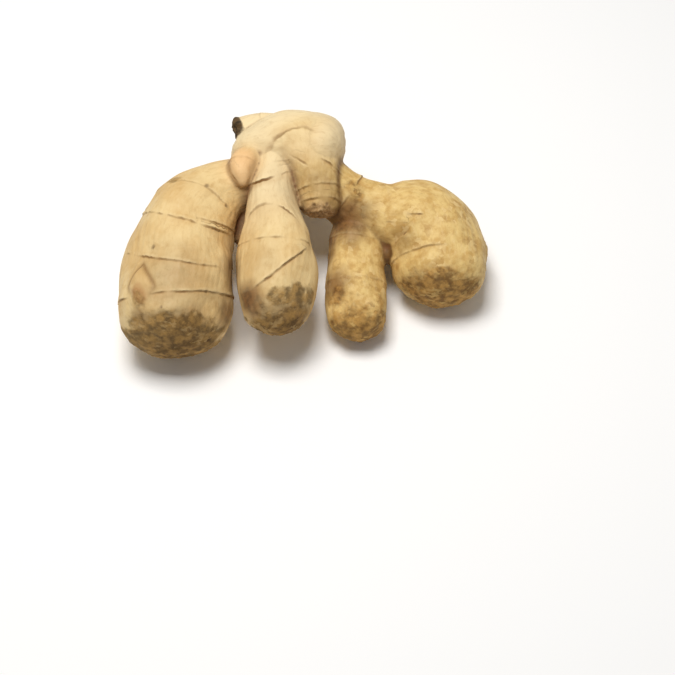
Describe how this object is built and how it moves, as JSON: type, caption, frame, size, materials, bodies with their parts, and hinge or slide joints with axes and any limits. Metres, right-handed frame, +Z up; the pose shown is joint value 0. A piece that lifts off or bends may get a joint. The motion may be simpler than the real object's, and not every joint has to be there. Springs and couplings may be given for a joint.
{
  "type": "ginger root",
  "caption": "Hand of fresh ginger root: thick ringed fingers branch from a knobbly head and lie on a surface.",
  "frame": {"origin": "middle of the footprint, on the surface that the root lies on", "axes": "+Z up, fingers pointing along -Y, +X from the thickest finger towards the right lobe"},
  "size_m": [0.1402, 0.1083, 0.0524],
  "materials": {
    "ginger_skin": "matt, thin papery skin, pale tan, rough and browner at the broken ends"
  },
  "bodies": {
    "root": {"ginger_rhizome": "ginger_skin"}
  },
  "joints": []
}
